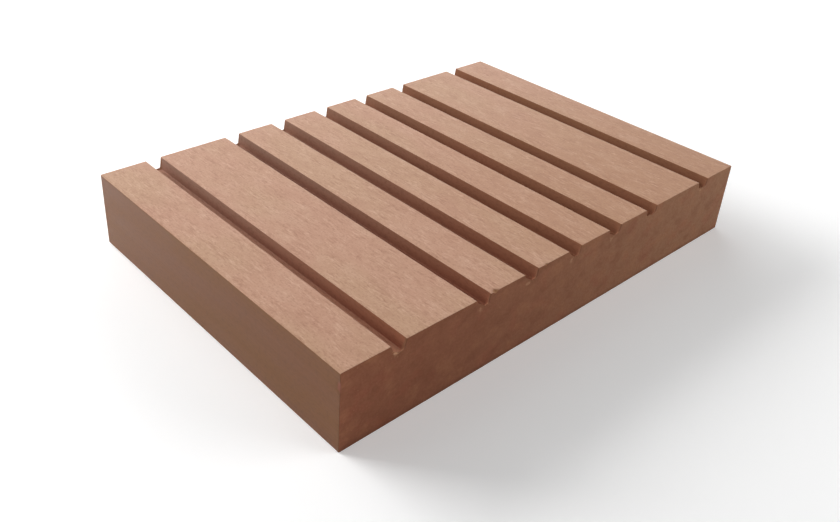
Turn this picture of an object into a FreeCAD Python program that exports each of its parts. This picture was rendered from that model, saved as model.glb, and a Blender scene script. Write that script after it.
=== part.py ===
import FreeCAD, Part
import os

import Sketcher

# A short sample of grooved solid decking board, in millimetres
#
# The board is one solid extrusion in wood-plastic composite. Its top has flat lands with
# grooves between them: an edge land and a wide land on each side, and narrow lands in the
# middle. The grooves run the whole length of the sample, and both ends are square saw cuts.
#
# X runs across the grooves, Y runs along them, and Z points up. The origin is the middle of
# the underside, where the board rests on its joists.

# Driving dimensions: alias, value, what it measures
SIZES = [
    ("board_length", 100.0, "sample length, from saw cut to saw cut"),
    ("board_thickness", 21.0, "underside to the top of the lands"),
    ("edge_land", 12.8, "width of the land along each side"),
    ("wide_land", 20.6, "width of the land next to it"),
    ("narrow_land", 11.5, "width of each land in the middle"),
    ("groove_mouth", 4.6, "width of a groove at the top"),
    ("groove_depth", 3.35, "top of the lands to the groove's floor"),
    ("wall_lean", 8.5, "degrees that a groove's wall leans outwards"),
    ("floor_round", 0.3, "radius between a groove's wall and its floor"),
    ("mouth_round", 0.15, "radius along the mouth of a groove"),
    ("side_round", 0.3, "radius along the board's upper sides"),
    ("base_round", 0.3, "radius along the board's lower sides"),
]

# Grooves in the evenly spaced middle group; one more lies near each side
INNER_COUNT = 5
GROOVE_COUNT = INNER_COUNT + 2

# Places that follow from the driving dimensions, each measured from the middle of the board
INNER_PITCH = "(Sizes.narrow_land + Sizes.groove_mouth)"
INNER_START = f"({(INNER_COUNT - 1) / 2} * {INNER_PITCH} - Sizes.groove_mouth / 2)"
OUTER_START = f"({INNER_START} + Sizes.groove_mouth + Sizes.wide_land)"
HALF_WIDTH = f"({OUTER_START} + Sizes.groove_mouth + Sizes.edge_land)"
FLOOR_WIDTH = "(Sizes.groove_mouth - 2 * Sizes.groove_depth * tan(Sizes.wall_lean))"
FLOOR_HEIGHT = "(Sizes.board_thickness - Sizes.groove_depth)"

# How closely two places agree to count as the same
TOUCH = 1e-4

# A sketch's own origin, as a constraint names it
ORIGIN = (-1, 1)


def make_sheet(doc):
    """Write the driving dimensions into the document's sheet."""
    sheet = doc.addObject("Spreadsheet::Sheet", "Sizes")
    for row, (alias, value, meaning) in enumerate(SIZES, start=1):
        sheet.set(f"A{row}", meaning)
        sheet.set(f"B{row}", str(value))
        sheet.setAlias(f"B{row}", alias)
    doc.recompute()
    return sheet


def origin_feature(body, role):
    """The body's own origin plane or axis with this role."""
    for feature in body.Origin.OriginFeatures:
        if feature.Role == role:
            return feature
    raise ValueError(f"no origin feature {role}")


def cross_section(body, name):
    """An empty sketch that looks along the board, with X across it and Y up."""
    sketch = body.newObject("Sketcher::SketchObject", name)
    sketch.AttachmentSupport = (origin_feature(body, "XZ_Plane"), [""])
    sketch.MapMode = "FlatFace"
    return sketch


def start(line):
    """The first point of a sketch line, as a constraint names it."""
    return (line, 1)


def end(line):
    """The last point of a sketch line, as a constraint names it."""
    return (line, 2)


def draw_outline(sketch, corners):
    """A closed outline of straight lines, each joined to the next."""
    count = len(corners)
    for index, (across, up) in enumerate(corners):
        next_across, next_up = corners[(index + 1) % count]
        here = FreeCAD.Vector(across, up, 0)
        there = FreeCAD.Vector(next_across, next_up, 0)
        sketch.addGeometry(Part.LineSegment(here, there))
    for index in range(count):
        following = (index + 1) % count
        sketch.addConstraint(Sketcher.Constraint("Coincident", *end(index), *start(following)))


def add_size(sketch, name, kind, first, last, formula):
    """A named dimension between two points of the sketch that follows the sheet."""
    value = float(sketch.evalExpression(formula))
    index = sketch.addConstraint(Sketcher.Constraint(kind, *first, *last, value))
    sketch.renameConstraint(index, name)
    sketch.setExpression(f"Constraints.{name}", formula)


def make_blank(body):
    """The plain board before its grooves: a rectangle padded both ways from the middle."""
    sketch = cross_section(body, "blank_outline")
    half_width = float(sketch.evalExpression(HALF_WIDTH))
    thickness = float(sketch.evalExpression("Sizes.board_thickness"))
    corners = [(-half_width, 0), (half_width, 0), (half_width, thickness), (-half_width, thickness)]
    draw_outline(sketch, corners)
    base, right, top, left = range(4)
    for line in (base, top):
        sketch.addConstraint(Sketcher.Constraint("Horizontal", line))
    for line in (right, left):
        sketch.addConstraint(Sketcher.Constraint("Vertical", line))
    sketch.addConstraint(Sketcher.Constraint("Symmetric", *start(base), *end(base), *ORIGIN))
    add_size(sketch, "half_width", "DistanceX", ORIGIN, end(base), HALF_WIDTH)
    add_size(sketch, "thickness", "DistanceY", start(right), end(right), "Sizes.board_thickness")

    pad = body.newObject("PartDesign::Pad", "blank")
    pad.Profile = sketch
    pad.SideType = "Symmetric"
    pad.setExpression("Length", "Sizes.board_length")
    return pad


def cut_groove(body, name, place):
    """One groove through the whole length, its near side at the formula's place."""
    sketch = cross_section(body, f"{name}_outline")
    near = float(sketch.evalExpression(place))
    mouth_width = float(sketch.evalExpression("Sizes.groove_mouth"))
    floor_width = float(sketch.evalExpression(FLOOR_WIDTH))
    top_height = float(sketch.evalExpression("Sizes.board_thickness"))
    floor_height = float(sketch.evalExpression(FLOOR_HEIGHT))
    lean = (mouth_width - floor_width) / 2
    far = near + mouth_width
    corners = [
        (near, top_height),
        (far, top_height),
        (far - lean, floor_height),
        (near + lean, floor_height),
    ]
    draw_outline(sketch, corners)
    mouth, far_wall, floor, near_wall = range(4)
    for line in (mouth, floor):
        sketch.addConstraint(Sketcher.Constraint("Horizontal", line))
    sketch.addConstraint(Sketcher.Constraint("Equal", far_wall, near_wall))
    add_size(sketch, "place", "DistanceX", ORIGIN, start(mouth), place)
    add_size(sketch, "top", "DistanceY", ORIGIN, start(mouth), "Sizes.board_thickness")
    add_size(sketch, "mouth", "DistanceX", start(mouth), end(mouth), "Sizes.groove_mouth")
    add_size(sketch, "depth", "DistanceY", end(far_wall), start(far_wall), "Sizes.groove_depth")
    add_size(sketch, "floor", "DistanceX", end(floor), start(floor), FLOOR_WIDTH)

    pocket = body.newObject("PartDesign::Pocket", name)
    pocket.Profile = sketch
    pocket.Type = "ThroughAll"
    pocket.SideType = "Symmetric"
    return pocket


def repeat_inner(body, groove):
    """The middle group of grooves, spaced by one narrow land."""
    pattern = body.newObject("PartDesign::LinearPattern", "inner_grooves")
    pattern.Originals = [groove]
    pattern.Direction = (origin_feature(body, "X_Axis"), [""])
    pattern.Reversed = True
    pattern.Mode = "Spacing"
    pattern.Occurrences = INNER_COUNT
    pattern.setExpression("Offset", INNER_PITCH)
    body.Tip = pattern
    return pattern


def mirror_outer(body, groove):
    """The same outer groove near the board's other side."""
    mirror = body.newObject("PartDesign::Mirrored", "outer_grooves")
    mirror.Originals = [groove]
    mirror.MirrorPlane = (origin_feature(body, "YZ_Plane"), [""])
    body.Tip = mirror
    return mirror


def long_edges(shape, wanted):
    """Names of the edges along the board whose place across it and height are wanted."""
    names = []
    for number, edge in enumerate(shape.Edges, start=1):
        first, last = edge.Vertexes[0].Point, edge.Vertexes[-1].Point
        level = abs(first.z - last.z) < TOUCH
        straight = abs(first.x - last.x) < TOUCH
        if level and straight and wanted(abs(first.x), first.z):
            names.append(f"Edge{number}")
    return names


def round_edges(body, name, base, edges, radius):
    """Round the named edges of the base feature to the formula radius."""
    fillet = body.newObject("PartDesign::Fillet", name)
    fillet.Base = (base, edges)
    fillet.setExpression("Radius", radius)
    body.Tip = fillet
    body.Document.recompute()
    return fillet


def round_board(body, base):
    """Soften the grooves' floors and mouths and the board's four long corners."""
    half_width = float(body.evalExpression(HALF_WIDTH))
    top_height = float(body.evalExpression("Sizes.board_thickness"))
    floor_height = float(body.evalExpression(FLOOR_HEIGHT))

    def at_floor(across, up):
        return abs(up - floor_height) < TOUCH

    def at_mouth(across, up):
        return abs(up - top_height) < TOUCH and across < half_width - TOUCH

    def at_upper_side(across, up):
        return abs(up - top_height) < TOUCH and across > half_width - TOUCH

    def at_lower_side(across, up):
        return abs(up) < TOUCH and across > half_width - TOUCH

    rounds = [
        ("floor_corners", at_floor, f"min(Sizes.floor_round; {FLOOR_WIDTH} / 2)"),
        ("groove_mouths", at_mouth, "Sizes.mouth_round"),
        ("upper_sides", at_upper_side, "Sizes.side_round"),
        ("lower_sides", at_lower_side, "Sizes.base_round"),
    ]
    for name, wanted, radius in rounds:
        edges = long_edges(base.Shape, wanted)
        base = round_edges(body, name, base, edges, radius)
        print(f"{name}: {len(edges)} edges rounded to {base.Radius}")


def make_board(doc):
    """The whole board as one body."""
    body = doc.addObject("PartDesign::Body", "deck_board")
    body.Label = "deck_board"
    blank = make_blank(body)
    doc.recompute()
    blank_volume = blank.Shape.Volume

    inner = cut_groove(body, "inner_groove", INNER_START)
    doc.recompute()
    repeat_inner(body, inner)
    doc.recompute()
    outer = cut_groove(body, "outer_groove", OUTER_START)
    doc.recompute()
    grooved = mirror_outer(body, outer)
    doc.recompute()

    section = f"({FLOOR_WIDTH} + Sizes.groove_mouth) / 2 * Sizes.groove_depth"
    groove_volume = float(body.evalExpression(f"{section} * Sizes.board_length"))
    removed = blank_volume - grooved.Shape.Volume
    print(f"{GROOVE_COUNT} grooves take {removed:.1f} mm3, drawn as {GROOVE_COUNT * groove_volume:.1f}")
    if abs(removed - GROOVE_COUNT * groove_volume) > TOUCH * blank_volume:
        raise RuntimeError("the grooves don't take what they should")

    round_board(body, grooved)
    body.Placement = FreeCAD.Placement()
    return body


def check_document(doc, bodies):
    """Stop if anything failed, or if a sub-part isn't one valid solid."""
    for item in doc.Objects:
        if "Invalid" in item.State or "Error" in item.State:
            raise RuntimeError(f"{item.Name} failed: {item.State}")
    for body in bodies:
        shape = body.Shape
        if shape.isNull() or not shape.isValid() or len(shape.Solids) != 1:
            raise RuntimeError(f"{body.Label} isn't one valid solid")


def main():
    doc = FreeCAD.newDocument("deck_board_sample")
    make_sheet(doc)
    bodies = [make_board(doc)]
    doc.recompute()
    check_document(doc, bodies)
    os.makedirs("parts", exist_ok=True)
    for body in bodies:
        body.Shape.exportStep(f"parts/{body.Label}.step")
        box = body.Shape.BoundBox
        size = f"{box.XLength:.2f} x {box.YLength:.2f} x {box.ZLength:.2f} mm"
        print(f"{body.Label}: {size}, {body.Shape.Volume / 1000:.2f} cm3")


main()
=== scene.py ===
# %% [markdown]
# A sample of grooved decking board, dressed for its picture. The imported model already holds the
# plain board, so the first step only loads it and measures it. Everything that follows is worked
# out from that box, in metres, with the board lying flat on the floor at height zero.

# %% Load the plain board
import math

import bmesh
import bpy
from mathutils import Matrix, Vector, noise


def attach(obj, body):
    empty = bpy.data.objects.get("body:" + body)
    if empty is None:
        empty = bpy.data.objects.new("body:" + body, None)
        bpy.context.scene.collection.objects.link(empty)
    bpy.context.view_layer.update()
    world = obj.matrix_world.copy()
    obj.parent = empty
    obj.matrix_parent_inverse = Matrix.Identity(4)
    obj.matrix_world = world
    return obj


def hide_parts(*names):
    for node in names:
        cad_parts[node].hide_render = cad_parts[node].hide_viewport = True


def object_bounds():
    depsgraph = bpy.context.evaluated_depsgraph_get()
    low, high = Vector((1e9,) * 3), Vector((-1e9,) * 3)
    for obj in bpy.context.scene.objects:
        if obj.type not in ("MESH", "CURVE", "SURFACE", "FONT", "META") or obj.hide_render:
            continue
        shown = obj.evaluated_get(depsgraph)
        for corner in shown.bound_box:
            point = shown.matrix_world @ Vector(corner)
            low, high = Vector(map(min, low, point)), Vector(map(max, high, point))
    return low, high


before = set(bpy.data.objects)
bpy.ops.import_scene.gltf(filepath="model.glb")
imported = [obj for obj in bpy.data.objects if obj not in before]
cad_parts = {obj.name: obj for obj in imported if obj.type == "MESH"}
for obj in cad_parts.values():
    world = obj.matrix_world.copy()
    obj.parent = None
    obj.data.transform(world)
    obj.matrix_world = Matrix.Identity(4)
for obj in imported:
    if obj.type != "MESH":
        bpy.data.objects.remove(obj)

cad_low, cad_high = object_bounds()
MM = 0.001
HALF_WIDTH = cad_high.x
HALF_LENGTH = cad_high.y
THICKNESS = cad_high.z
print("board", [round(size / MM, 2) for size in cad_high - cad_low], "mm")

# %% [markdown]
# The real board is squeezed out of a steel die, so one outline gives every groove its shape. The
# outline could be drawn with a pen of numbers, but a die maker thinks in lands and grooves: flat
# strips that feet walk on, and the channels between them. A single point is pushed along that
# outline step by step, which keeps each width in one place.

# %% The die's outline
EDGE_LAND, WIDE_LAND, NARROW_LAND = 12.8 * MM, 20.6 * MM, 11.5 * MM
LANDS = [EDGE_LAND, WIDE_LAND, *[NARROW_LAND] * 4, WIDE_LAND, EDGE_LAND]
GROOVE_MOUTH = 4.6 * MM
GROOVE_DEPTH = 3.35 * MM
WALL_LEAN = math.radians(8.5)
LEAN = GROOVE_DEPTH * math.tan(WALL_LEAN)
FLOOR_WIDTH = GROOVE_MOUTH - 2 * LEAN
FLOOR_HEIGHT = THICKNESS - GROOVE_DEPTH

GROOVES = []
mouth = -HALF_WIDTH
for land in LANDS[:-1]:
    GROOVES.append((mouth + land, mouth + land + GROOVE_MOUTH))
    mouth += land + GROOVE_MOUTH
print("grooves start at", [round(left / MM, 1) for left, right in GROOVES], "mm")


def step_on(board, point, across, up):
    """Push one more corner of the outline out of the last one."""
    new = bmesh.ops.extrude_vert_indiv(board, verts=[point])["verts"][0]
    bmesh.ops.translate(board, verts=[new], vec=(across, 0, up))
    return new


def draw_die_outline(board):
    """The closed outline of the section, standing at the near saw cut."""
    first = board.verts.new((-HALF_WIDTH, -HALF_LENGTH, THICKNESS))
    point = first
    for land in LANDS[:-1]:
        point = step_on(board, point, land, 0)
        point = step_on(board, point, LEAN, -GROOVE_DEPTH)
        point = step_on(board, point, FLOOR_WIDTH, 0)
        point = step_on(board, point, LEAN, GROOVE_DEPTH)
    point = step_on(board, point, LANDS[-1], 0)
    point = step_on(board, point, 0, -THICKNESS)
    point = step_on(board, point, -2 * HALF_WIDTH, 0)
    board.edges.new((point, first))


board = bmesh.new()
draw_die_outline(board)
print("outline has", len(board.verts), "corners")

# %% [markdown]
# A die has no knife-sharp corners, and neither has the board, though its edges are crisp: none of
# the radii is larger than a third of a millimetre. Bevelling the outline's points before it is
# pushed through gives each long edge its radius at once. A bevel sets how far back it starts
# along the outline, so the radius is turned into that reach by the angle of the corner. The
# outline is filled with one face while that happens, and emptied again afterwards.

# %% Round the outline's corners
FLOOR_ROUND, MOUTH_ROUND, SIDE_ROUND, BASE_ROUND = 0.3 * MM, 0.15 * MM, 0.3 * MM, 0.3 * MM
SQUARE = math.radians(90)
NEAR_ENOUGH = 0.01 * MM


def round_corners(board, wanted, radius, corner, segments):
    """Round the outline's wanted points to a radius."""
    points = [v for v in board.verts if wanted(v.co)]
    bmesh.ops.bevel(
        board,
        geom=points,
        offset=radius / math.tan(corner / 2),
        offset_type="OFFSET",
        affect="VERTICES",
        segments=segments,
        profile=0.5,
        material=-1,
    )
    print("rounded", len(points), "corners to", round(radius / MM, 2), "mm")


def on_floor(co):
    return abs(co.z - FLOOR_HEIGHT) < NEAR_ENOUGH


def on_mouth(co):
    return abs(co.z - THICKNESS) < NEAR_ENOUGH and abs(co.x) < HALF_WIDTH - NEAR_ENOUGH


def on_upper_side(co):
    return abs(co.z - THICKNESS) < NEAR_ENOUGH and abs(co.x) > HALF_WIDTH - NEAR_ENOUGH


def on_lower_side(co):
    return co.z < NEAR_ENOUGH


bmesh.ops.contextual_create(board, geom=board.edges[:])
round_corners(board, on_floor, FLOOR_ROUND, SQUARE + WALL_LEAN, 3)
round_corners(board, on_mouth, MOUTH_ROUND, SQUARE + WALL_LEAN, 3)
round_corners(board, on_upper_side, SIDE_ROUND, SQUARE, 3)
round_corners(board, on_lower_side, BASE_ROUND, SQUARE, 3)
bmesh.ops.delete(board, geom=board.faces[:], context="FACES_ONLY")

# %% [markdown]
# Later the saw will nick the cut edges, and a nick needs points to move. The long straight
# stretches of the outline are divided into short ones here, while it is still a single line and
# a division costs one point instead of a whole row of faces. The saw also knocked two chips out
# of the near cut, beside the second and the third groove, and bruised the left side near the top
# of its corner. The points lie closest there.

# %% Divide the long stretches
LAND_STEP, SIDE_STEP, BASE_STEP, CHIP_STEP = 0.45 * MM, 1.0 * MM, 2.5 * MM, 0.15 * MM
CHIPS = [
    # middle, half its width, its reach along the board, its depth
    (GROOVES[1][1] + 1.6 * MM, 1.0 * MM, 0.8 * MM, 0.6 * MM),
    (GROOVES[2][1] + 2.9 * MM, 0.5 * MM, 0.5 * MM, 0.35 * MM),
]
# how far below the top, half its height, its reach along the board, its depth
BRUISE = (3.6 * MM, 2.0 * MM, 1.2 * MM, 0.2 * MM)


def divide(board, wanted, step):
    """Divide each wanted stretch of the outline into pieces no longer than the step."""
    for edge in [e for e in board.edges if wanted(e.verts[0].co, e.verts[1].co)]:
        cuts = math.ceil(edge.calc_length() / step) - 1
        if cuts > 0:
            bmesh.ops.subdivide_edges(board, edges=[edge], cuts=cuts)


def is_underside(one, other):
    return max(one.z, other.z) < NEAR_ENOUGH


def is_side(one, other):
    return min(abs(one.x), abs(other.x)) > HALF_WIDTH - NEAR_ENOUGH


def is_grooved(one, other):
    return min(one.z, other.z) > THICKNESS - 2 * GROOVE_DEPTH


def is_chipped(one, other):
    middle = (one + other) / 2
    on_top = middle.z > THICKNESS - NEAR_ENOUGH
    return on_top and any(abs(middle.x - across) < half_width for across, half_width, *_ in CHIPS)


def is_bruised(one, other):
    middle = (one + other) / 2
    below, half_height, *_ = BRUISE
    return middle.x < NEAR_ENOUGH - HALF_WIDTH and abs(THICKNESS - below - middle.z) < half_height


divide(board, is_underside, BASE_STEP)
divide(board, is_side, SIDE_STEP)
divide(board, is_grooved, LAND_STEP)
divide(board, is_chipped, CHIP_STEP)
divide(board, is_bruised, 2 * CHIP_STEP)
print("outline now has", len(board.verts), "points")

# %% [markdown]
# Now the outline is pushed along the board, one row after another. Rows lie close together by
# the two saw cuts, where the wear is, and further apart between them. The result is a tube: both
# ends stay open until the wear has moved the points.

# %% Push the outline along the board
END_ROWS = [step * MM for step in (0.05, 0.07, 0.1, 0.12, 0.15, 0.2, 0.25, 0.35, 0.5, 0.7)]
MIDDLE_ROWS = 80


def row_steps():
    """The lengths of the rows from the near saw cut to the far one."""
    middle = 2 * HALF_LENGTH - 2 * sum(END_ROWS)
    return [*END_ROWS, *[middle / MIDDLE_ROWS] * MIDDLE_ROWS, *reversed(END_ROWS)]


def push_along(board):
    """Pull the outline through the die, and give back the far end's edges."""
    ring = board.edges[:]
    for step in row_steps():
        pulled = bmesh.ops.extrude_edge_only(board, edges=ring)["geom"]
        ring = [item for item in pulled if isinstance(item, bmesh.types.BMEdge)]
        points = [item for item in pulled if isinstance(item, bmesh.types.BMVert)]
        bmesh.ops.translate(board, verts=points, vec=(0, step, 0))
    return ring


near_ring = board.edges[:]
far_ring = push_along(board)
bmesh.ops.recalc_face_normals(board, faces=board.faces[:])
board.normal_update()
print("shell has", len(board.faces), "faces")

# %% [markdown]
# The rest of the shape is wear. Most of it is a depth: how far a point sinks into the board. Smooth
# chance makes each depth ragged, and because it follows from the place alone, the board comes out
# the same every time. The first wear is what the blade leaves all round both cuts: a hair-thin
# broken edge, and a rim that lies a little deeper where the blade crosses a groove.

# %% Broken edges of the saw cuts
CUT_EDGE, CUT_REACH = 0.04 * MM, 0.06 * MM
RIM, RIM_REACH = 0.05 * MM, 0.16 * MM
# how large the bumps of broken plastic are along X, Y and Z
CRUMBS, LUMPS = [0.9 * MM] * 3, [1.2 * MM] * 3


def fade(distance, reach):
    """One at the place itself, and nothing from the reach outwards."""
    return max(0.0, 1 - abs(distance) / reach)


def grain(place, size, seed):
    """Smooth chance from minus one to one, in bumps of this size; each seed has its own bumps."""
    return noise.noise(Vector([at / one for at, one in zip(place, size)]) + Vector((seed, 0, 0)))


def groove_at(place):
    """The number of the groove that a point belongs to, or None."""
    if place.z > FLOOR_HEIGHT - NEAR_ENOUGH:
        for number, (left, right) in enumerate(GROOVES):
            if left < place.x < right:
                return number
    return None


def cut_wear(place, gap):
    """The thin broken edge all round a saw cut, which lies a gap away."""
    return CUT_EDGE * fade(gap, CUT_REACH) * (1 + grain(place, CRUMBS, seed=3))


def rim_wear(place, gap):
    """A groove's rim at the cut lies a little deeper."""
    rim = RIM * fade(gap, RIM_REACH) * fade(FLOOR_HEIGHT - place.z, GROOVE_DEPTH)
    return rim * (1 + 0.4 * grain(place, LUMPS, seed=8))


print("broken edges are", round(CUT_EDGE / MM, 2), "mm deep, rims", round(RIM / MM, 2), "mm more")

# %% [markdown]
# The blade tears as well as cuts. It drags the soft plastic along where it breaks out of a groove,
# and leaves a web in the groove's last millimetre, high on the left and low on the right. A web
# could be sunk like the other wear, but points that leave a tight corner squarely would cross. So
# it is a lift instead: it raises the floor and presses the walls together under the mouth. The
# near cut has the high webs, and the far one is taken to have much lower ones.

# %% Webs of torn plastic
WEBS = [
    # height of the web at the left foot, where it is lowest, and at the right foot, in mm
    (2.1, 0.5, 0.9),
    (2.7, 0.9, 1.1),
    (2.5, 0.8, 1.0),
    (2.4, 0.9, 1.1),
    (2.0, 1.1, 1.3),
    (1.8, 1.1, 1.3),
    (1.6, 1.0, 1.2),
]
# where across the floor a web is lowest, how long it is, and how high the far ones are in share
LOWEST, WEB_LENGTH, FAR_SHARE = 0.68, 0.9 * MM, 0.25


def left_foot(number):
    """The left corner of a groove's floor: its place across the board."""
    return GROOVES[number][0] + LEAN


def web_height(number, across):
    """The height of a web above the floor, from the left foot at 0 to the right foot at 1."""
    left, lowest, right = (height * MM for height in WEBS[number])
    if across < LOWEST:
        return left + (lowest - left) * across / LOWEST
    return lowest + (right - lowest) * (across - LOWEST) / (1 - LOWEST)


def web_lift(place, gap, number):
    """How far the web lifts a point: the floor by its whole height, the walls less and less."""
    height = web_height(number, min(1, max(0, (place.x - left_foot(number)) / FLOOR_WIDTH)))
    ragged = 1 + 0.2 * grain(place, CRUMBS, seed=12)
    share = FAR_SHARE if place.y > 0 else 1
    return height * ragged * share * fade(gap, WEB_LENGTH) * (THICKNESS - place.z) / GROOVE_DEPTH


print("webs stand up to", max(left for left, lowest, right in WEBS), "mm above the floor")

# %% [markdown]
# Where the blade tore the dark skin off a groove, the plastic under it shows. It is brown like the
# cut itself, and pale in the left corner, where the blade came out last. The first groove has by
# far the largest pale corner. The torn part could be faces with a finish of their own, but then
# it would end in straight lines. So a share says for each point how much of the skin is gone, and
# the finishes read it later.

# %% Torn skin
TORN_REACH = 0.8 * MM
# how far the skin of each groove is torn, as a share of that reach
TORN_SIZES = [1.6, 0.9, 1.0, 1.0, 1.1, 1.0, 0.9]
# the tear reaches this share of its way at the mouth, and all of its way from this depth down
MOUTH_SHARE, FULL_DEPTH = 0.6, 2.5 * MM
PALE_REACH = 2.2 * MM


def torn_reach(place, number):
    """How far along the groove its skin is torn: further near the floor than at the mouth."""
    below = min(1, (THICKNESS - place.z) / FULL_DEPTH)
    ragged = 1 + 0.4 * grain(place, LUMPS, seed=9)
    return TORN_REACH * TORN_SIZES[number] * (MOUTH_SHARE + (1 - MOUTH_SHARE) * below) * ragged


def near_left_foot(place, number):
    """One in the left corner of a groove's floor, and nothing from the pale reach outwards."""
    return fade(math.hypot(place.x - left_foot(number), place.z - FLOOR_HEIGHT), PALE_REACH)


def torn_share(place, gap, number):
    """How much of the skin is gone in a groove: bare brown counts half, pale crumbs the rest."""
    size = TORN_SIZES[number] / TORN_SIZES[0]
    brown = min(1, 1.8 * fade(gap, torn_reach(place, number)))
    pale = min(1, 2 * near_left_foot(place, number)) * min(1, 2 * fade(gap, WEB_LENGTH))
    return 0.5 * brown + 0.5 * size * size * pale


print("skin is torn for about", [round(TORN_REACH * size / MM, 2) for size in TORN_SIZES], "mm")

# %% [markdown]
# The brush eats a little into the mouth of each groove, in a wavy line. And some walls came out of
# the die up to a third of a millimetre to the right. They move as a whole, because a wall that
# only moves at its top would lean more and catch other light.

# %% Wavy mouths and walls out of place
BRUSH_EDGE, BRUSH_REACH = 0.08 * MM, 0.5 * MM
LONG_WAVES, SHORT_WAVES = (2 * MM, 6 * MM, 50 * MM), (2 * MM, 2 * MM, 50 * MM)
WALL_MOVES = [
    # how far the left and the right wall of a groove stand to the right of their place, in mm
    (0.24, 0.03),
    (0.08, 0.04),
    (0, 0.24),
    (0, 0.32),
    (0.06, 0.32),
    (0.1, 0.26),
    (0.04, 0.03),
]
WALL_REACH = 1.2 * MM


def brush_wear(place):
    """The wavy line that the brush leaves along the mouth of a groove."""
    nearest = min(abs(place.x - edge) for groove in GROOVES for edge in groove)
    wave = grain(place, LONG_WAVES, seed=5) + 0.5 * grain(place, SHORT_WAVES, seed=6)
    worn = BRUSH_EDGE * max(0, wave) * fade(nearest, BRUSH_REACH)
    return worn * fade(place.z - THICKNESS, BRUSH_REACH)


def wall_move(place):
    """How far a point moves to the right with its wall and the land beside it."""
    moved = 0
    if place.z > FLOOR_HEIGHT - NEAR_ENOUGH:
        for edges, moves in zip(GROOVES, WALL_MOVES):
            for edge, move in zip(edges, moves):
                moved += move * MM * min(1, 2 * fade(place.x - edge, WALL_REACH))
    return Vector((moved, 0, 0))


print("walls move by up to", max(max(moves) for moves in WALL_MOVES), "mm")

# %% [markdown]
# The two chips and the bruise are dents in the edges of the near cut, deepest in the middle and
# ragged all round. A chip goes down from a land, and the bruise goes in from the left side. One
# function shapes them all, and each says how far beside its middle a point lies.

# %% Chips and the bruise
CHIP_GRAIN, BRUISE_GRAIN = [0.5 * MM] * 3, [0.8 * MM] * 3


def dent(place, beside, half_width, reach, ragged):
    """One in the middle of a dent in the near cut's edge, and nothing past its outline."""
    away = math.hypot(beside / half_width, (place.y + HALF_LENGTH) / reach)
    return max(0, 1 - away * (1 + 0.35 * ragged))


def chip_wear(place):
    """How deep the two chips are at a point."""
    depth = 0
    for across, half_width, reach, deepest in CHIPS:
        ragged = grain(place, CHIP_GRAIN, seed=11)
        share = dent(place, place.x - across, half_width, reach, ragged)
        depth += deepest * share * fade(place.z - THICKNESS, MM)
    return depth


def bruise_wear(place):
    """How deep the bruise in the left side is at a point."""
    if place.x >= MM - HALF_WIDTH:
        return 0
    below, half_height, reach, deepest = BRUISE
    ragged = grain(place, BRUISE_GRAIN, seed=14)
    return deepest * dent(place, THICKNESS - below - place.z, half_height, reach, ragged)


print("dents go", [round(deepest / MM, 2) for *_, deepest in (*CHIPS, BRUISE)], "mm deep")

# %% [markdown]
# The depths are added up point by point, and each point moves across the board only, so the cuts
# stay flat. Two numbers are kept on every point for the finishes: the share of the skin that is
# torn off, and how far across its groove the point lies.

# %% Move the points
BARE_DEPTH = 0.25 * MM

torn = board.verts.layers.float.new("torn")
across = board.verts.layers.float.new("across")
outward = {v: Vector((v.normal.x, 0, v.normal.z)).normalized() for v in board.verts}
for v in board.verts:
    gap = HALF_LENGTH - abs(v.co.y)
    groove = groove_at(v.co)
    dented = chip_wear(v.co) + bruise_wear(v.co)
    depth = cut_wear(v.co, gap) + brush_wear(v.co) + dented
    lift = 0
    v[torn] = min(1, dented / BARE_DEPTH)
    if groove is not None:
        depth += rim_wear(v.co, gap)
        lift = web_lift(v.co, gap, groove)
        v[torn] = torn_share(v.co, gap, groove)
        v[across] = (v.co.x - GROOVES[groove][0]) / GROOVE_MOUTH
    v.co += wall_move(v.co) + Vector((0, 0, lift)) - outward[v] * depth
print("skin torn at", sum(v[torn] > 0 for v in board.verts), "of", len(board.verts), "points")

# %% [markdown]
# Each cut is closed with one flat face, which is what a saw leaves, and then parted just below the
# floors of the grooves and down the middle of each one. The pieces have no deep bays in them, so
# they shade evenly.

# %% Close both ends
PARTING_HEIGHT = FLOOR_HEIGHT - 0.6 * MM


def part(board, faces, place, across):
    """Part flat faces along a plane, and give back the pieces."""
    around = dict.fromkeys(item for face in faces for item in (*face.verts, *face.edges))
    parted = bmesh.ops.bisect_plane(board, geom=[*faces, *around], plane_co=place, plane_no=across)
    return [item for item in parted["geom"] if isinstance(item, bmesh.types.BMFace)]


def close_end(board, ring):
    """Close one end of the tube, and give back the pieces of the cut."""
    cut = bmesh.ops.contextual_create(board, geom=ring)["faces"]
    cut = part(board, cut, (0, 0, PARTING_HEIGHT), (0, 0, 1))
    for left, right in GROOVES:
        cut = part(board, cut, ((left + right) / 2, 0, 0), (1, 0, 0))
    return cut


for ring in (near_ring, far_ring):
    print("cut closed with", len(close_end(board, ring)), "pieces")
bmesh.ops.recalc_face_normals(board, faces=board.faces[:])
print("board has", len(board.faces), "faces")

# %% [markdown]
# Four finishes meet on this one piece. The lands are brushed after the board leaves the die,
# the sides and grooves keep the skin that the die gave them, and the ends are bare saw cuts. A
# face's finish follows from where it looks and how high it is, which still holds when a width
# changes.

# %% Give each face its finish
LAND, GROOVE, SIDE, SAWN = range(4)
LOOKS_UP, LOOKS_ALONG = 0.6, 0.99


def is_sawn(face):
    """Whether a face lies in one of the two cuts."""
    return abs(face.normal.y) > LOOKS_ALONG


def finish_of(face):
    """Which of the four finishes a face has."""
    middle = face.calc_center_median()
    if is_sawn(face):
        return SAWN
    if middle.z > THICKNESS - MM and (face.normal.z > LOOKS_UP or chip_wear(middle) > 0):
        return LAND
    in_groove = middle.z > THICKNESS / 2 and abs(middle.x) < HALF_WIDTH - EDGE_LAND / 2
    return GROOVE if in_groove else SIDE


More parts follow.
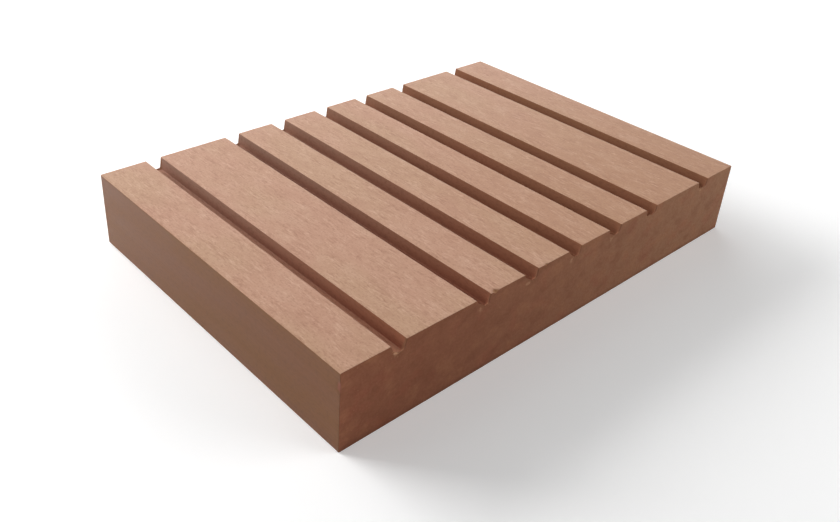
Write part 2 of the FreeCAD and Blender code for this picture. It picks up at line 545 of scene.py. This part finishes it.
for face in board.faces:
    face.material_index = finish_of(face)
    face.smooth = not is_sawn(face)
indices = [face.material_index for face in board.faces]
print("faces brushed, in grooves, on sides and sawn:", [indices.count(one) for one in range(4)])

# %% [markdown]
# The mesh becomes an object of its own. Smooth shading alone would blend the light from the rounded
# edges far into the lands, and they would look cushioned. So edges above 30 degrees stay sharp, and
# a modifier gives the large flat faces the most say in the blending. The object then takes the
# place of the plain board.

# %% Make the board an object
SHARP = math.radians(30)
mesh = bpy.data.meshes.new("grooved_board")
board.to_mesh(mesh)
board.free()
mesh.set_sharp_from_angle(angle=SHARP)
grooved_board = bpy.data.objects.new("grooved_board", mesh)
bpy.context.scene.collection.objects.link(grooved_board)
weighted = grooved_board.modifiers.new("flat lands", "WEIGHTED_NORMAL")
weighted.keep_sharp = True
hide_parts("deck_board")
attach(grooved_board, "root")
print("triangles", sum(len(p.vertices) - 2 for p in mesh.polygons))

# %% [markdown]
# Colours are written the way a paint chart gives them, from 0 to 255, and turned into the light
# values that the renderer works in. A finish is a chain of small nodes, each joined to the next.
# Joining them by hand takes three lines for each node, so a chain does it: it adds a node, feeds a
# socket, and has one short word each for sums, for stretching a value and for mixing colours.

# %% Chain of nodes
def paint(red, green, blue):
    """A colour from a chart, as light."""
    def light(value):
        value /= 255
        return value / 12.92 if value <= 0.04045 else ((value + 0.055) / 1.055) ** 2.4
    return (light(red), light(green), light(blue), 1)


class Chain:
    """The nodes of one material."""

    def __init__(self, name):
        self.material = bpy.data.materials.new(name)
        self.material.use_nodes = True
        self.tree = self.material.node_tree
        self.shader = self.tree.nodes["Principled BSDF"]
        self.place = self.add("ShaderNodeTexCoord").outputs["Object"]

    def add(self, kind, **settings):
        """Add a node with its settings."""
        node = self.tree.nodes.new(kind)
        for name, value in settings.items():
            setattr(node, name, value)
        return node

    def feed(self, socket, value):
        """Join a socket to another node's output, or set it to a plain value."""
        if isinstance(value, bpy.types.NodeSocket):
            self.tree.links.new(value, socket)
        else:
            socket.default_value = value

    def calculate(self, operation, first, second):
        """One sum with two values."""
        node = self.add("ShaderNodeMath", operation=operation)
        self.feed(node.inputs[0], first)
        self.feed(node.inputs[1], second)
        return node.outputs["Value"]

    def between(self, value, low, high, start=0.0, end=1.0):
        """Stretch the part of a value from low to high so that it runs from start to end."""
        node = self.add("ShaderNodeMapRange", interpolation_type="SMOOTHSTEP")
        self.feed(node.inputs["Value"], value)
        for name, number in zip(("From Min", "From Max", "To Min", "To Max"), (low, high, start, end)):
            node.inputs[name].default_value = number
        return node.outputs["Result"]

    def mix(self, amount, first, second):
        """The first colour where the amount is nothing, and the second where it is one."""
        node = self.add("ShaderNodeMix", data_type="RGBA")
        factor, one, other = (s for s in node.inputs if s.enabled)
        self.feed(factor, amount)
        self.feed(one, first)
        self.feed(other, second)
        return next(s for s in node.outputs if s.enabled)


print("mid grey as light is", round(paint(128, 128, 128)[0], 3))

# %% [markdown]
# A recipe is a chain for one finish. It has patterns, which are noise with bumps of a real size, or
# simply where a point lies. And it has a colour, over which the other colours are laid one after
# another, each as thin as its pattern says, the way a painter glazes.

# %% Patterns and coats
class Recipe(Chain):
    """One finish: its patterns, and the colour that is built up from them."""

    def speckle(self, size, detail, rough=0.5, shift=(0, 0, 0)):
        """Noise between 0 and 1 whose bumps measure size, in millimetres, along X, Y and Z."""
        mapping = self.add("ShaderNodeMapping", vector_type="POINT")
        self.feed(mapping.inputs["Vector"], self.place)
        mapping.inputs["Location"].default_value = shift
        mapping.inputs["Scale"].default_value = [1 / (one * MM) for one in size]
        texture = self.add("ShaderNodeTexNoise")
        self.feed(texture.inputs["Vector"], mapping.outputs["Vector"])
        texture.inputs["Scale"].default_value = 1
        texture.inputs["Detail"].default_value = detail
        texture.inputs["Roughness"].default_value = rough
        return texture.outputs["Fac"]

    def rings(self, centre, width, detail):
        """Noise in rings round a place, each ring about this many millimetres wide."""
        texture = self.add("ShaderNodeTexNoise", noise_dimensions="1D")
        self.feed(texture.inputs["W"], self.far_from(centre))
        texture.inputs["Scale"].default_value = 1 / (width * MM)
        texture.inputs["Detail"].default_value = detail
        return texture.outputs["Fac"]

    def far_from(self, place):
        """How far a point lies from a place."""
        away = self.add("ShaderNodeVectorMath", operation="DISTANCE")
        self.feed(away.inputs[0], self.place)
        away.inputs[1].default_value = place
        return away.outputs["Value"]

    def along(self, axis):
        """How far a point lies from the middle of the board's underside, along X, Y or Z."""
        parts = self.add("ShaderNodeSeparateXYZ")
        self.feed(parts.inputs["Vector"], self.place)
        return parts.outputs[axis]

    def kept(self, name):
        """A number that was kept on each point of the board."""
        return self.add("ShaderNodeAttribute", attribute_name=name).outputs["Fac"]

    def glaze(self, amount, colour):
        """Lay one more colour over the finish, as thick as the amount says."""
        self.colour = self.mix(amount, self.colour, colour)

    def tint(self, colour, pattern, none, full, strength=1.0):
        """Lay a colour on: nothing where the pattern is at none, and the strength where at full."""
        self.glaze(self.between(pattern, none, full, 0.0, strength), colour)

    def surface(self, roughness, specular):
        """Give the shader the colour, and say how rough and how glossy the finish is."""
        self.feed(self.shader.inputs["Base Color"], self.colour)
        self.feed(self.shader.inputs["Roughness"], roughness)
        self.shader.inputs["Specular IOR Level"].default_value = specular

    def haze(self, weight, roughness):
        """The pale haze of a face that is seen flat."""
        self.shader.inputs["Sheen Weight"].default_value = weight
        self.shader.inputs["Sheen Roughness"].default_value = roughness

    def relief(self, height, depth):
        """Raise and sink the surface by a height between 0 and 1, over this depth."""
        bump = self.add("ShaderNodeBump")
        bump.inputs["Distance"].default_value = depth
        self.feed(bump.inputs["Height"], height)
        self.feed(self.shader.inputs["Normal"], bump.outputs["Normal"])


def coat(mesh, finish):
    """Give a mesh one more finish."""
    mesh.materials.append(finish.material)
    print(finish.material.name, "is a chain of", len(finish.tree.nodes), "nodes")


# %% [markdown]
# The lands are brushed: a rotating wire wheel runs along the board and scratches off the shiny
# skin, so the surface turns pale and matt and is covered in fine strokes along its length. The
# strokes come from noise that is stretched along the board, up to six times, and in three sizes,
# because one size alone looks like a printed pattern. Wide, faint clouds of warmer and yellower
# tan lie under them, as the pigment is never mixed quite evenly. The near right lands carry a
# painted shade, a darker and warmer tan where the light falls off towards that corner. Loose
# fibres give a brushed face a pale haze when it is seen flat, which is a trace of sheen here; a
# glossier skin would mirror the low window instead.

# %% Brushed lands
TAN = paint(190, 145, 120)
YELLOW_TAN = paint(188, 148, 119)
SHADED_WARM_TAN = paint(179, 133, 101)
DARK_PATCH, LIGHT_PATCH = paint(162, 114, 90), paint(212, 176, 152)
DARK_STROKE, LIGHT_STROKE = paint(154, 104, 78), paint(216, 178, 154)
DARK_FLUFF, LIGHT_FLUFF = paint(156, 108, 84), paint(218, 182, 158)
CHIPPED = paint(186, 134, 98)


def brushed_land():
    finish = Recipe("brushed_land")
    clouds = finish.speckle((16, 34, 16), detail=3, shift=(5, 0, 0))
    finish.colour = finish.mix(finish.between(clouds, 0.35, 0.65), TAN, YELLOW_TAN)
    # painted shade: the near right lands are glazed a darker, warmer tan where the light falls off
    right = finish.between(finish.along("X"), -0.05, 0.04)
    near = finish.between(finish.along("Y"), 0.05, -0.05, 0.15, 1.0)
    finish.glaze(finish.calculate("MULTIPLY", right, near), SHADED_WARM_TAN)
    patches = finish.speckle((4, 9, 4), detail=4, rough=0.6, shift=(2, 7, 0))
    finish.tint(DARK_PATCH, patches, 0.5, 0.32, strength=0.2)
    finish.tint(LIGHT_PATCH, patches, 0.5, 0.68, strength=0.15)
    pressed = finish.speckle((3, 7, 3), detail=2, shift=(4, 1, 8))
    strong = finish.between(pressed, 0.38, 0.62, 0.25, 1.0)
    strokes = finish.speckle((0.4, 2.4, 0.4), detail=3, rough=0.6, shift=(9, 4, 0))
    dark = finish.between(strokes, 0.5, 0.3, 0.0, 0.55)
    finish.glaze(finish.calculate("MULTIPLY", dark, strong), DARK_STROKE)
    light = finish.between(strokes, 0.5, 0.7, 0.0, 0.45)
    finish.glaze(finish.calculate("MULTIPLY", light, strong), LIGHT_STROKE)
    fluff = finish.speckle((0.36, 0.6, 0.36), detail=2, shift=(1, 3, 0))
    finish.tint(DARK_FLUFF, fluff, 0.46, 0.3, strength=0.4)
    finish.tint(LIGHT_FLUFF, fluff, 0.6, 0.76, strength=0.3)
    finish.tint(CHIPPED, finish.kept("torn"), 0.1, 0.6)
    finish.surface(finish.between(strokes, 0.3, 0.7, 0.76, 0.86), specular=0.1)
    finish.haze(0.18, 0.5)
    finish.relief(finish.calculate("ADD", fluff, strokes), 0.02 * MM)
    return finish


coat(mesh, brushed_land())

# %% [markdown]
# The grooves keep the skin from the die, out of the brush's reach. It is darker and redder than
# the brushed face, and dull, because grit settles there. A pale grey haze is painted on towards the
# far left corner, strongest high on the walls: a painted sheen of the light from behind. The walls
# are painted a little lighter towards the mouth, as painted light. The first groove carries more
# painted light than the others: lighter upper walls, and a pale floor that is lightest on its left,
# where the left land's shadow falls. Where the saw tore the skin, the share kept on each point
# brings out the brown of the cut, and then the pale crumbs.

# %% Skin in the grooves
LEFT_SKIN, RIGHT_SKIN = paint(132, 79, 58), paint(128, 85, 60)
RED_CLOUD = paint(136, 74, 54)
LIT_UPPER_WALL = paint(164, 116, 90)
LIT_FIRST_WALL = paint(164, 104, 76)
LIT_FLOOR_LEFT, LIT_FLOOR_RIGHT = paint(190, 136, 108), paint(158, 106, 82)
HAZE_GREY = paint(156, 138, 124)
HAZY_CORNER = (-0.07, 0.06, 0.02)
GRIT = paint(84, 48, 33)
TORN_BROWN, PALE_CRUMBS = paint(131, 89, 66), paint(200, 158, 126)


def groove_skin():
    finish = Recipe("groove_skin")
    clouds = finish.speckle((14, 40, 9), detail=3, shift=(3, 1, 6))
    to_the_right = finish.between(finish.along("X"), -0.06, 0.06)
    finish.colour = finish.mix(to_the_right, LEFT_SKIN, RIGHT_SKIN)
    finish.tint(RED_CLOUD, clouds, 0.4, 0.7, strength=0.2)
    up = finish.between(finish.along("Z"), FLOOR_HEIGHT, THICKNESS)
    # painted light: the walls are glazed lighter towards the mouth, darker towards the floor
    finish.glaze(finish.calculate("MULTIPLY", up, 0.16), LIT_UPPER_WALL)
    # painted light on the first groove: its upper walls are glazed lighter
    first = finish.between(finish.along("X"), -0.03, -0.05)
    upper_first = finish.calculate("MULTIPLY", first, up)
    finish.glaze(finish.calculate("MULTIPLY", upper_first, 0.4), LIT_FIRST_WALL)
    # painted light on the first groove's floor, lightest on its left where the left land's shadow
    # falls
    low = finish.between(finish.along("Z"), FLOOR_HEIGHT + 0.15 * MM, FLOOR_HEIGHT + 0.05 * MM)
    by_right_wall = finish.between(finish.kept("across"), 0.6, 0.85)
    lit_floor = finish.mix(by_right_wall, LIT_FLOOR_LEFT, LIT_FLOOR_RIGHT)
    finish.glaze(finish.calculate("MULTIPLY", first, low), lit_floor)
    # painted sheen: a pale grey haze of light from behind, towards the far left corner and strongest
    # high on the walls
    painted_haze = finish.between(finish.far_from(HAZY_CORNER), 0.12, 0.015, 0.0, 0.4)
    higher = finish.between(finish.along("Z"), FLOOR_HEIGHT, THICKNESS, 0.55, 1.15)
    finish.glaze(finish.calculate("MULTIPLY", painted_haze, higher), HAZE_GREY)
    grit = finish.speckle((0.5, 1.2, 0.5), detail=3)
    finish.tint(GRIT, grit, 0.45, 0.7, strength=0.2)
    torn = finish.kept("torn")
    crumbs = finish.calculate("ADD", torn, finish.between(grit, 0.3, 0.7, -0.1, 0.1))
    finish.tint(TORN_BROWN, torn, 0.1, 0.4)
    finish.tint(PALE_CRUMBS, crumbs, 0.75, 1.05)
    finish.surface(finish.between(torn, 0.1, 0.4, 0.75, 0.95), specular=0.12)
    finish.relief(grit, 0.012 * MM)
    return finish


coat(mesh, groove_skin())

# %% [markdown]
# The outer sides keep the same skin, but they have stood in the open, so they are a yellower
# brown and a little polished by handling. Fine lines from the die run along them. A trace of
# sheen gives them the haze that a low window draws on such a surface, and the bruise shows the
# reddish brown of the cut.

# %% Skin on the sides
SIDE_BROWN, YELLOW_BROWN = paint(120, 75, 44), paint(122, 79, 43)
DIE_LINE = paint(140, 94, 66)
BRUISED = paint(146, 86, 66)


def side_skin():
    finish = Recipe("side_skin")
    clouds = finish.speckle((14, 40, 9), detail=3, shift=(3, 1, 6))
    finish.colour = finish.mix(finish.between(clouds, 0.35, 0.65), SIDE_BROWN, YELLOW_BROWN)
    lines = finish.speckle((0.3, 140.0, 0.3), detail=2, shift=(6, 2, 0))
    finish.tint(DIE_LINE, lines, 0.3, 0.7, strength=0.16)
    grit = finish.speckle((0.5, 1.2, 0.5), detail=3)
    finish.tint(GRIT, grit, 0.45, 0.7, strength=0.2)
    finish.tint(BRUISED, finish.kept("torn"), 0.1, 0.5)
    finish.surface(finish.between(clouds, 0.3, 0.7, 0.4, 0.5), specular=0.26)
    finish.haze(0.16, 0.3)
    finish.relief(finish.calculate("ADD", lines, grit), 0.012 * MM)
    return finish


coat(mesh, side_skin())

# %% [markdown]
# The ends show what the board is made of: wood flour and plastic, cut across. The cut is dull and
# mottled, with flecks of flour a fraction of a millimetre long, and the blade left shallow arcs
# in it. The arcs are rings round a place far below the board, where the blade's middle was. The
# cut is painted paler towards the right, as painted light, and darker along its lower edge, as
# painted shade where it meets the floor. The far cut is painted a little darker and greyer than the
# near one, a painted shade against the low window that lights it. Beside the left foot of each
# groove, where the blade came out last, a pale burr with a ragged outline shows on the near cut.

# %% Bare saw cut
LEFT_CUT, LIT_RIGHT_CUT = paint(139, 88, 66), paint(157, 115, 88)
RED_MOTTLE = paint(152, 84, 66)
DARK_MOTTLE, LIGHT_MOTTLE = paint(118, 72, 52), paint(170, 116, 84)
WOOD_FLOUR, PALE_FLECK = paint(116, 72, 52), paint(184, 134, 100)
BLADE_ARC = paint(174, 120, 86)
BLADE_MIDDLE = (0.055, 0, -0.115)
SHADED_LOWER_EDGE = paint(100, 64, 48)
SHADED_FAR_CUT = paint(104, 74, 62)
BURR = paint(206, 158, 122)
BURRS = [
    # right of the left foot, above the floor, radius, strength
    (1.3 * MM, 0.9 * MM, 1.25 * MM, 0.8),
    (1.1 * MM, 0.6 * MM, 0.8 * MM, 0.3),
    *[(1.0 * MM, 0.4 * MM, 0.65 * MM, 0.3)] * 5,
]


def lay_burrs(finish):
    """Lay the pale burrs on the cut, each with the same ragged outline."""
    lumps = finish.speckle((0.9, 0.9, 0.9), detail=2)
    ragged = finish.between(lumps, 0.3, 0.7, -0.5 * MM, 0.5 * MM)
    for number, (right, up, radius, strength) in enumerate(BURRS):
        place = Vector((left_foot(number) + right, -HALF_LENGTH, FLOOR_HEIGHT + up))
        away = finish.calculate("ADD", finish.far_from(place), ragged)
        finish.tint(BURR, away, radius, 0.2 * radius, strength=strength)


def saw_cut():
    finish = Recipe("saw_cut")
    # painted light: the cut is painted paler towards the right
    to_the_right = finish.between(finish.along("X"), -0.07, 0.07)
    finish.colour = finish.mix(to_the_right, LEFT_CUT, LIT_RIGHT_CUT)
    clouds = finish.speckle((6, 6, 5), detail=3, shift=(1, 5, 3))
    finish.tint(RED_MOTTLE, clouds, 0.5, 0.7, strength=0.25)
    mottle = finish.speckle((4, 4, 3), detail=3, shift=(8, 2, 5))
    finish.tint(DARK_MOTTLE, mottle, 0.5, 0.3, strength=0.28)
    finish.tint(LIGHT_MOTTLE, mottle, 0.5, 0.7, strength=0.3)
    flour = finish.speckle((0.6, 0.6, 0.6), detail=3)
    finish.tint(WOOD_FLOUR, flour, 0.35, 0.65, strength=0.2)
    arcs = finish.rings(BLADE_MIDDLE, 3.0, detail=4)
    finish.tint(BLADE_ARC, arcs, 0.4, 0.65, strength=0.05)
    flecks = finish.speckle((0.5, 0.5, 0.4), detail=1, shift=(4, 0, 7))
    finish.tint(PALE_FLECK, flecks, 0.64, 0.8, strength=0.35)
    # painted shade along the cut's lower edge, where it meets the floor
    finish.tint(SHADED_LOWER_EDGE, finish.along("Z"), 1.6 * MM, 0.0, strength=0.45)
    # painted shade: the far cut is darkened and greyed against the low window that lights it
    finish.tint(SHADED_FAR_CUT, finish.along("Y"), 0.0, 0.01, strength=0.6)
    lay_burrs(finish)
    finish.surface(finish.between(flour, 0.3, 0.7, 0.7, 0.8), specular=0.1)
    finish.relief(finish.calculate("ADD", flour, arcs), 0.015 * MM)
    return finish


coat(mesh, saw_cut())

# %% [markdown]
# The board lies on a white studio floor. A floor that is only lit never comes out quite white in a
# picture, so the floor adds a little glow of its own, but only where the camera looks straight at
# it. The board is lit by none of that glow, and its shadow stays on the floor. Far from the board,
# where the lamps hardly reach, the glow grows until the floor is as white as the sky behind it.

# %% Floor
WHITE = (1, 1, 1, 1)
FLOOR_PAINT = (0.9, 0.9, 0.9, 1)
FLOOR_REACH = 3
# from this far from the board to this far, in metres, the glow grows from its least to white
GLOW_STARTS, GLOW_ENDS = 0.4, 1.2
GLOW_NEAR, GLOW_FAR = 0.25, 1.0
floor_mesh = bpy.data.meshes.new("studio_floor")
plate = bmesh.new()
bmesh.ops.create_grid(plate, x_segments=1, y_segments=1, size=FLOOR_REACH)
plate.to_mesh(floor_mesh)
plate.free()
studio_floor = bpy.data.objects.new("studio_floor", floor_mesh)
bpy.context.scene.collection.objects.link(studio_floor)
white = Recipe("white_floor")
white.colour = FLOOR_PAINT
white.surface(0.9, specular=0.0)
white.shader.inputs["Emission Color"].default_value = WHITE
seen = white.add("ShaderNodeLightPath").outputs["Is Camera Ray"]
glow = white.between(white.far_from((0, 0, 0)), GLOW_STARTS, GLOW_ENDS, GLOW_NEAR, GLOW_FAR)
white.feed(white.shader.inputs["Emission Strength"], white.calculate("MULTIPLY", seen, glow))
coat(floor_mesh, white)

# %% [markdown]
# Behind the floor's far edge the picture is white as well. The world is set to white for the
# camera alone, and to a faint grey for everything else, so the sky adds almost no light.

# %% White surroundings
SKY = 0.1
world = bpy.data.worlds.new("studio")
bpy.context.scene.world = world
world.use_nodes = True
background = world.node_tree.nodes["Background"]
background.inputs["Color"].default_value = WHITE
looking = world.node_tree.nodes.new("ShaderNodeLightPath").outputs["Is Camera Ray"]
brighter = world.node_tree.nodes.new("ShaderNodeMath")
brighter.operation = "MAXIMUM"
brighter.inputs[1].default_value = SKY
world.node_tree.links.new(looking, brighter.inputs[0])
world.node_tree.links.new(brighter.outputs["Value"], background.inputs["Strength"])
print("the sky lights the board with a strength of", SKY)

# %% [markdown]
# The light comes mostly from low windows behind the board and to its left. That is why the walls
# that face left are lit down to the floor of each groove, why the far part of every face is hazier
# than the near one, and why the lands fade a little towards the near right corner. One high lamp
# would light every face evenly and lose all three. A large fill in front keeps the cut readable.
# The haze in the grooves, the fading of the near right lands and the paler right of the cut are
# helped along by painted sheen, painted shade and painted light in their finishes.

# %% Light
def softbox(name, place, width, height, power):
    """A flat lamp that looks from its place to the middle of the board."""
    lamp = bpy.data.lights.new(name, "AREA")
    lamp.shape = "RECTANGLE"
    lamp.size = width
    lamp.size_y = height
    lamp.energy = power
    holder = bpy.data.objects.new(name, lamp)
    holder.location = place
    holder.rotation_euler = (-Vector(place)).to_track_quat("-Z", "Y").to_euler()
    holder.visible_camera = False
    bpy.context.scene.collection.objects.link(holder)
    print(name, "is", round(Vector(place).length, 2), "m away")


softbox("window", (-0.3, 0.75, 0.32), width=0.7, height=0.42, power=11.8)
softbox("back window", (0.28, 0.5, 0.25), width=0.7, height=0.38, power=2.0)
softbox("lamp", (-0.5, 0.5, 0.8), width=0.6, height=0.6, power=1.0)
softbox("fill", (0.9, -0.9, 0.5), width=1.0, height=0.8, power=10.1)

# %% [markdown]
# The camera stands close to the near left corner, which makes the grooves run together towards the
# back. Its place, its turn and its lens were measured from the corners of the board in the photo:
# the lens length follows from how fast the grooves run together, and the small shifts from where
# the middle of the picture lies.

# %% Camera
PHOTO_WIDTH, FOCAL_PIXELS, SENSOR = 840, 892.0, 36.0
SHIFT_RIGHT, SHIFT_UP = 0.0238, -0.0667
CAMERA_PLACE = Vector((-156.9, -151.3, 135.3)) * MM
# in degrees: to the right of straight ahead, down from level, and round the line of sight
TURN_RIGHT, LOOK_DOWN, TILT = 43.89, 30.06, 3.55
camera_data = bpy.data.cameras.new("camera")
camera_data.sensor_width = SENSOR
camera_data.lens = FOCAL_PIXELS / PHOTO_WIDTH * SENSOR
camera_data.shift_x = SHIFT_RIGHT
camera_data.shift_y = SHIFT_UP
camera = bpy.data.objects.new("camera", camera_data)
heading = Matrix.Rotation(math.radians(-TURN_RIGHT), 4, "Z")
looking_down = Matrix.Rotation(math.radians(90 - LOOK_DOWN), 4, "X")
tilt = Matrix.Rotation(math.radians(TILT), 4, "Z")
camera.matrix_world = Matrix.Translation(CAMERA_PLACE) @ heading @ looking_down @ tilt
bpy.context.scene.collection.objects.link(camera)
bpy.context.scene.camera = camera
bpy.context.scene.view_settings.view_transform = "Standard"
print("camera is", round(CAMERA_PLACE.length, 3), "m away, lens", round(camera_data.lens, 1), "mm")
